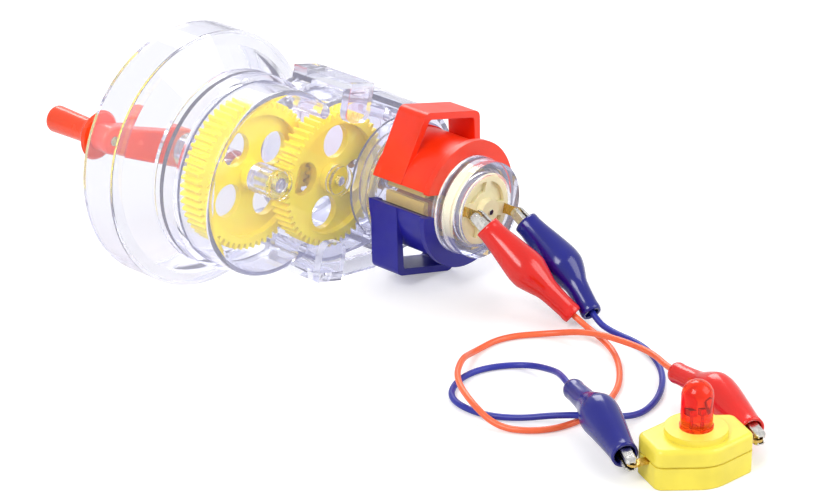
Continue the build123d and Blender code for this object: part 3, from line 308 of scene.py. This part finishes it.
FINISHES = {
    # General-purpose polystyrene, polished mould: clear, with a lilac cast at its edges and a faint painted lilac
    # glow.
    "clear_plastic": ("moulded_clear_polystyrene", lambda n, c: see_through(
        n, shade(c.clear_face, 1), shade(c.clear_rim, 1), 0.05, 0.96, 0.04)),
    # Acetal, moulded: waxy, lets a little light in.
    "gear_yellow": ("moulded_yellow_acetal", lambda n, c: moulded(
        n, c.gear, 0.32, 0.1, 0.2 * MM, 0.15, 0.92)),
    "crank_orange": ("moulded_orange_abs", lambda n, c: moulded(
        n, c.crank, 0.25, 0.4, 0.5 * MM, 0.1)),
    "holder_red": ("moulded_red_abs", lambda n, c: moulded(n, c.red_holder, 0.34, 0.1, 0.4 * MM)),
    "holder_blue": ("moulded_blue_abs", lambda n, c: moulded(
        n, c.blue_holder, 0.36, 0.05, 0.4 * MM)),
    # Nylon, unfilled: cream and dull.
    "cream_plastic": ("moulded_cream_nylon", lambda n, c: moulded(
        n, c.cream, 0.4, 0.1, 0.2 * MM, 0.1)),
    "lamp_yellow": ("moulded_yellow_abs", lambda n, c: moulded(n, c.lamp, 0.38, 0.15, 0.5 * MM)),
    "bright_steel": ("nickel_plated_steel", lambda n, c: drawn(n, linear("#eeece8"), 0.16)),
    "brushed_steel": ("plated_spring_steel", lambda n, c: drawn(n, linear("#e2e0dc"), 0.2)),
    "brass": ("rolled_brass", lambda n, c: drawn(n, linear("#d8b466"), 0.25)),
    "bronze": ("sintered_bronze", lambda n, c: drawn(n, linear("#b88c4c"), 0.4)),
    # Laminations stacked along the shaft, yellow passivated.
    "gilt_core": ("passivated_steel_laminations", lambda n, c: drawn(
        n, c.core, 0.45, (60, 1, 1), 0.55)),
    "copper": ("enamelled_copper_wire", lambda n, c: wound(n, linear("#d0723a"))),
    "carbon": ("pressed_carbon", lambda n, c: moulded(n, linear("#202020"), 0.6, 0.0, 0.1 * MM)),
    "magnet_grey": ("sintered_ferrite", lambda n, c: moulded(
        n, linear("#323236"), 0.6, 0.0, 0.2 * MM)),
    # Dipped vinyl: soft shine all over.
    "vinyl_red": ("dipped_red_vinyl", lambda n, c: moulded(n, c.red_boot, 0.2, 0.25, 0, 0.05)),
    "vinyl_blue": ("dipped_blue_vinyl", lambda n, c: moulded(n, c.blue_boot, 0.2, 0.25, 0)),
    "cord_red": ("extruded_red_vinyl", lambda n, c: moulded(n, c.red_cord, 0.35, 0.2, 0, 0.1)),
    "cord_blue": ("extruded_blue_vinyl", lambda n, c: moulded(n, c.blue_cord, 0.4, 0.1, 0)),
    # Cast epoxy, tinted: clear enough to show the posts, with a faint painted red glow.
    "led_red": ("cast_red_epoxy", lambda n, c: see_through(
        n, shade(c.led, 1), shade(c.led, 0.8), 0.12, 0.9, 0.05)),
}


# ---- surfaces ----
def skin(name, grid, ring, smooth=True):
    """A skin over a grid of points, each row a closed ring; the rows close up or are capped."""
    rows, columns = grid.shape[:2]
    index = np.arange(rows * columns).reshape(rows, columns)
    last = rows if ring else rows - 1
    a = index[:last]
    b = np.roll(index, -1, axis=0)[:last]
    quads = np.stack((a, np.roll(a, -1, axis=1), np.roll(b, -1, axis=1), b), axis=-1)
    faces = quads.reshape(-1, 4).tolist()
    if not ring:
        faces += [index[0, ::-1].tolist(), index[-1].tolist()]
    mesh = bpy.data.meshes.new(name)
    mesh.from_pydata(grid.reshape(-1, 3).tolist(), [], faces)
    mesh.polygons.foreach_set("use_smooth", np.full(len(mesh.polygons), smooth))
    mesh.update()
    piece = bpy.data.objects.new(name, mesh)
    bpy.context.scene.collection.objects.link(piece)
    return piece


def dress(piece, slot, body=None, nodes=()):
    """Give a piece the finish of its slot and its body, and hide the nodes that it stands for."""
    piece.data.materials.append(finish(slot))
    if nodes:
        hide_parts(*nodes)
    if body:
        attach(piece, body)
    return piece


class Grip:
    """A clip's own directions, read from its jaw hinge."""

    def __init__(self, name):
        joint = next(j for j in frame["joints"] if j["name"] == f"{name}_jaw_turn")
        pivot = np.array(joint["pos_m"])
        self.middle, self.tail = (np.array(p) * MM for p in BOOTS_AT[name])
        self.wide = -np.array(joint["axis"]) / np.linalg.norm(joint["axis"])
        self.out = (self.middle - pivot) / np.linalg.norm(self.middle - pivot)
        self.close = np.cross(self.wide, self.out)
        self.turn = (self.tail - self.middle) / np.linalg.norm(self.tail - self.middle)
        self.bite = pivot - self.out * JAW_PIVOT * MM
        self.body = f"{name}_jaw"

    def at(self, s, n=0.0, w=0.0):
        """Places by distance along the clip, in its closing direction and across it."""
        return (self.bite + self.out * np.asarray(s)[..., None]
                + self.close * np.asarray(n)[..., None] + self.wide * np.asarray(w)[..., None])


def boot_radius(reach, straight, bent, sizes):
    """Outside radius past the bend: lip, cone, shoulder, neck and bead, averaged over 1.6 mm."""
    mouth, wide, tail = sizes.mouth_radius, sizes.wide_radius, sizes.tail_radius
    stations = (-straight, 0.8 * MM - straight, 1.8 * MM - straight, 6 * MM - straight,
                -1.5 * MM, 1.5 * MM, 0.42 * bent, 0.56 * bent, bent - 2.4 * MM,
                bent - 1.6 * MM, bent - 0.5 * MM, bent)
    radii = (mouth, mouth + 0.25 * MM, mouth, mouth + 0.5 * MM, wide, wide, tail + 0.8 * MM,
             tail + 0.45 * MM, tail + 0.1 * MM, tail + 0.4 * MM, tail + 0.35 * MM,
             tail - 0.2 * MM)
    near = np.linspace(-0.8, 0.8, 5) * MM
    return np.interp(reach[:, None] + near, stations, radii).mean(axis=1)


def boot_grid(grip, sizes, cord):
    """Boot skin f(u, a): u runs along the bent middle line out and back inside, a round it.

    The middle line turns from the clip's direction to the tail's over 10 mm, by the smooth
    ramp (x + sqrt(x^2 + 25)) / 2 of the distance x past the bend.
    """
    mouth = grip.at(sizes.mouth_at)
    straight = np.linalg.norm(grip.middle - mouth)
    bent = np.linalg.norm(grip.tail - grip.middle)
    outward = np.linspace(-straight, bent, 49)
    reach = np.concatenate((outward, outward[::-1]))
    lining = np.arange(reach.size) >= outward.size
    soft = BEND_HALF * MM
    lean = 0.5 * (reach + np.sqrt(reach ** 2 + soft ** 2))
    centre = (grip.middle + grip.out * (reach - lean)[:, None] + grip.turn * lean[:, None])
    share = np.clip((reach + soft) / (2 * soft), 0, 1)[:, None]
    way = grip.out * (1 - share) + grip.turn * share
    way /= np.linalg.norm(way, axis=1, keepdims=True)
    side = grip.wide - way * (way @ grip.wide)[:, None]
    side /= np.linalg.norm(side, axis=1, keepdims=True)
    tall = np.cross(side, way)
    radius = boot_radius(reach, straight, bent, sizes)
    radius = np.where(lining, np.maximum(radius - sizes.wall, cord / 2 + 0.1 * MM), radius)
    flat = 1 - 0.08 * (radius - sizes.tail_radius) / (sizes.wide_radius - sizes.tail_radius)
    angle = np.linspace(0, 2 * np.pi, 40, endpoint=False)
    return (centre[:, None] + side[:, None] * (np.cos(angle) * (radius * flat)[:, None])[..., None]
            + tall[:, None] * (np.sin(angle) * radius[:, None])[..., None])


def jaw_grid(grip, side, gap, sizes):
    """Jaw f(s, k): a U-shaped section k carried along s from the teeth, past the pin, to the end.

    The back and the edge are straight from station to station, and the edge takes a triangle
    wave of 1.1 mm for the teeth.
    """
    s = np.linspace(-1.4, 26, 138)
    back = np.interp(s, (-1.4, 0, 4, 12, 19, 26),
                     (gap / MM + 1.1, gap / MM + 1.6, gap / MM + 1.9, 3.0, 3.3, 5.2)) * MM
    edge = np.interp(s, (-1.4, 3.2, 4.2, 11, 13.5, 18, 20.5, 26),
                     (gap / MM, gap / MM, gap / MM + 0.5, 1.6, -0.9, -0.9, 2.4, 4.2)) * MM
    tuck = 0.0 if side < 0 else 0.7
    full = sizes.half_width / MM
    half = np.interp(s, (-1.4, -0.6, 12, 14, 18.5, 21, 25.4, 26),
                     (full - 0.6, full - 0.05, full, full - tuck, full - tuck, full, full,
                      full - 0.5)) * MM
    edge = edge + np.where(s < 3.4, 0.8 * MM * np.abs((s / TOOTH) % 1 - 0.5), 0)
    edge = np.minimum(edge, back - sizes.sheet - 0.05 * MM)
    inner = half - sizes.sheet
    bend = 0.3 * MM
    across = np.stack((-half, -half, bend - half, half - bend, half, half, inner, inner, -inner,
                       -inner), axis=1)
    up = np.stack((edge, back - bend, back, back, back - bend, edge, edge, back - sizes.sheet,
                   back - sizes.sheet, edge), axis=1)
    grid = grip.at(s[:, None] * MM + 0 * up, side * up, across)
    return grid if side < 0 else grid[:, ::-1]


# ---- operators ----
class MOTOR_OT_finish_solids(bpy.types.Operator):
    """Give every solid of the part its finish"""
    bl_idname = "motor.finish_solids"
    bl_label = "Finish solids"

    def execute(self, context):
        slots = {s["node"]: s["material_slot"] for s in frame["record"]["subparts"]}
        for name, node in frame["nodes"].items():
            node.data.materials.clear()
            node.data.materials.append(finish(slots[name]))
        return {"FINISHED"}


class MOTOR_OT_make_jaws(bpy.types.Operator):
    """Make the toothed sheet jaws of the four clips"""
    bl_idname = "motor.make_jaws"
    bl_label = "Make clip jaws"

    def execute(self, context):
        for name in BOOTS_AT:
            grip = Grip(name)
            for side, kind, body in ((-1, "fixed", ROOT), (1, "moving", grip.body)):
                node = f"{name}_{kind}_jaw"
                mesh = frame["nodes"][node].data
                points = np.empty(len(mesh.vertices) * 3)
                mesh.vertices.foreach_get("co", points)
                offset = points.reshape(-1, 3) - grip.bite
                nose = offset[offset @ grip.out < 0.9 * MM]
                gap = float(np.min(side * (nose @ grip.close)))
                jaw = skin(f"{name}_{kind}_sheet_jaw",
                           jaw_grid(grip, side, gap, context.scene.motor_clips), False, False)
                dress(jaw, "brushed_steel", body, (node,))
        return {"FINISHED"}


class MOTOR_OT_make_boots(bpy.types.Operator):
    """Make the four vinyl boots"""
    bl_idname = "motor.make_boots"
    bl_label = "Make vinyl boots"

    def execute(self, context):
        sizes, cord = context.scene.motor_clips, context.scene.motor_leads.cord
        for name in BOOTS_AT:
            grip = Grip(name)
            boot = skin(f"{name}_vinyl_boot", boot_grid(grip, sizes, cord), True)
            dress(boot, "vinyl_red" if name.startswith("red") else "vinyl_blue",
                  nodes=(f"{name}_boot",))
            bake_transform(boot)
        return {"FINISHED"}


class MOTOR_OT_bend_springs(bpy.types.Operator):
    """Remake each jaw spring as one welded piece with its finish"""
    bl_idname = "motor.bend_springs"
    bl_label = "Bend jaw springs"

    def execute(self, context):
        for name in BOOTS_AT:
            mesh = frame["nodes"][f"{name}_spring"].data.copy()
            mesh.materials.clear()
            welded = bmesh.new()
            welded.from_mesh(mesh)
            bmesh.ops.remove_doubles(welded, verts=welded.verts, dist=1e-6)
            welded.to_mesh(mesh)
            welded.free()
            spring = bpy.data.objects.new(f"{name}_wire_spring", mesh)
            context.scene.collection.objects.link(spring)
            dress(spring, "brushed_steel", nodes=(f"{name}_spring",))
            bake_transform(spring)
        return {"FINISHED"}


class MOTOR_OT_make_leads(bpy.types.Operator):
    """Make the two leads, each one smooth curve from inside one boot to inside the other"""
    bl_idname = "motor.make_leads"
    bl_label = "Make leads"

    def execute(self, context):
        sizes = context.scene.motor_leads
        for name, (start_name, end_name, points) in ROUTES.items():
            start, end = Grip(start_name), Grip(end_name)
            route = np.vstack((start.tail - start.turn * INSIDE_BOOT * MM,
                               start.tail + start.turn * PAST_BOOT * MM, np.array(points) * MM,
                               end.tail + end.turn * PAST_BOOT * MM,
                               end.tail - end.turn * INSIDE_BOOT * MM))
            curve = bpy.data.curves.new(f"{name}_line", "CURVE")
            curve.dimensions = "3D"
            curve.bevel_depth = sizes.cord / 2
            curve.bevel_resolution = 6
            curve.resolution_u = 16
            curve.use_fill_caps = True
            spline = curve.splines.new("NURBS")
            spline.points.add(len(route) - 1)
            spline.points.foreach_set("co", np.column_stack((route, np.ones(len(route)))).ravel())
            spline.order_u = 3
            spline.use_endpoint_u = True
            lead = bpy.data.objects.new(f"{name}_cord", curve)
            context.scene.collection.objects.link(lead)
            dress(lead, "cord_red" if name.startswith("red") else "cord_blue", ROOT, (name,))
        return {"FINISHED"}


class MOTOR_OT_make_stage(bpy.types.Operator):
    """Set the table card, the white room, the lamps and the camera"""
    bl_idname = "motor.make_stage"
    bl_label = "Make stage"

    def execute(self, context):
        scene, sizes = context.scene, context.scene.motor_stage
        mesh = bpy.data.meshes.new("table_card")
        corner = np.array([(-3, -3), (3, -3), (3, 3), (-3, 3)])
        mesh.from_pydata(np.column_stack((corner, np.full(4, -0.0002))).tolist(), [],
                         [(0, 1, 2, 3)])
        floor = bpy.data.objects.new("table_card", mesh)
        scene.collection.objects.link(floor)
        card, tree, shader = start_finish("matt_white_card")
        shader.inputs["Base Color"].default_value = shade(sizes.floor, 1)
        shader.inputs["Roughness"].default_value = 0.9
        shader.inputs["Emission Color"].default_value = (1, 1, 1, 1)
        rays = add_node(tree, "ShaderNodeLightPath")
        lift = add_node(tree, "ShaderNodeMapRange", {"To Min": 0.05, "To Max": 0.34},
                        {"Value": rays.outputs["Is Camera Ray"]})
        tree.links.new(lift.outputs["Result"], shader.inputs["Emission Strength"])
        mesh.materials.append(card)
        world = bpy.data.worlds.new("white_room")
        scene.world = world
        world.use_nodes = True
        tree = world.node_tree
        tree.nodes.clear()
        rays = add_node(tree, "ShaderNodeLightPath")
        seen = add_node(tree, "ShaderNodeMath", {"operation": "MAXIMUM"})
        tree.links.new(rays.outputs["Is Camera Ray"], seen.inputs[0])
        tree.links.new(rays.outputs["Is Transmission Ray"], seen.inputs[1])
        shown = add_node(tree, "ShaderNodeMath", {"operation": "MAXIMUM"})
        tree.links.new(seen.outputs[0], shown.inputs[0])
        tree.links.new(rays.outputs["Is Glossy Ray"], shown.inputs[1])
        plain = add_node(tree, "ShaderNodeBackground", {"Strength": 0.5})
        white = add_node(tree, "ShaderNodeBackground", {"Strength": 1.0})
        mix = add_node(tree, "ShaderNodeMixShader", links={"Fac": shown.outputs[0]})
        tree.links.new(plain.outputs[0], mix.inputs[1])
        tree.links.new(white.outputs[0], mix.inputs[2])
        add_node(tree, "ShaderNodeOutputWorld", links={"Surface": mix.outputs[0]})
        for name, (at, size) in LAMPS.items():
            data = bpy.data.lights.new(name, "AREA")
            data.energy, data.size = getattr(sizes, name), size
            lamp = bpy.data.objects.new(name, data)
            lamp.location = at
            aim = LAMPS_AIM - Vector(at)
            lamp.rotation_euler = aim.to_track_quat("-Z", "Y").to_euler()
            scene.collection.objects.link(lamp)
        data = bpy.data.cameras.new("camera")
        data.lens, data.clip_start = sizes.lens, 0.01
        camera = bpy.data.objects.new("camera", data)
        back = CAMERA_RIGHT.cross(CAMERA_UP)
        turn = Matrix((CAMERA_RIGHT, CAMERA_UP, back)).transposed()
        camera.matrix_world = Matrix.Translation(CAMERA_AT) @ turn.to_4x4()
        scene.collection.objects.link(camera)
        scene.camera = camera
        scene.view_settings.view_transform = "Standard"
        return {"FINISHED"}


class MOTOR_PT_looks(bpy.types.Panel):
    """Shows the motor's settings and operators in the sidebar"""
    bl_label = "Demonstration motor"
    bl_idname = "MOTOR_PT_looks"
    bl_space_type = "VIEW_3D"
    bl_region_type = "UI"
    bl_category = "Motor"

    def draw(self, context):
        for group in GROUPS:
            settings = getattr(context.scene, group)
            for key in settings.bl_rna.properties.keys():
                if key not in ("rna_type", "name"):
                    self.layout.prop(settings, key)
        for operator in OPERATORS:
            self.layout.operator(operator.bl_idname)


GROUPS = {"motor_colours": MotorColours, "motor_clips": MotorClips, "motor_leads": MotorLeads,
          "motor_stage": MotorStage}
OPERATORS = (MOTOR_OT_finish_solids, MOTOR_OT_make_jaws, MOTOR_OT_make_boots,
             MOTOR_OT_bend_springs, MOTOR_OT_make_leads, MOTOR_OT_make_stage)


def register():
    """Register the settings, the operators and the panel."""
    for name, group in GROUPS.items():
        bpy.utils.register_class(group)
        setattr(bpy.types.Scene, name, PointerProperty(type=group))
    for kind in OPERATORS + (MOTOR_PT_looks,):
        bpy.utils.register_class(kind)


def unregister():
    """Take them away again."""
    for kind in (MOTOR_PT_looks,) + OPERATORS[::-1]:
        bpy.utils.unregister_class(kind)
    for name, group in GROUPS.items():
        delattr(bpy.types.Scene, name)
        bpy.utils.unregister_class(group)


def main():
    """Run every operator."""
    register()
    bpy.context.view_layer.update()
    bpy.ops.motor.finish_solids()
    bpy.ops.motor.make_jaws()
    bpy.ops.motor.make_boots()
    bpy.ops.motor.bend_springs()
    bpy.ops.motor.make_leads()
    bpy.ops.motor.make_stage()


if __name__ == "__main__":
    main()
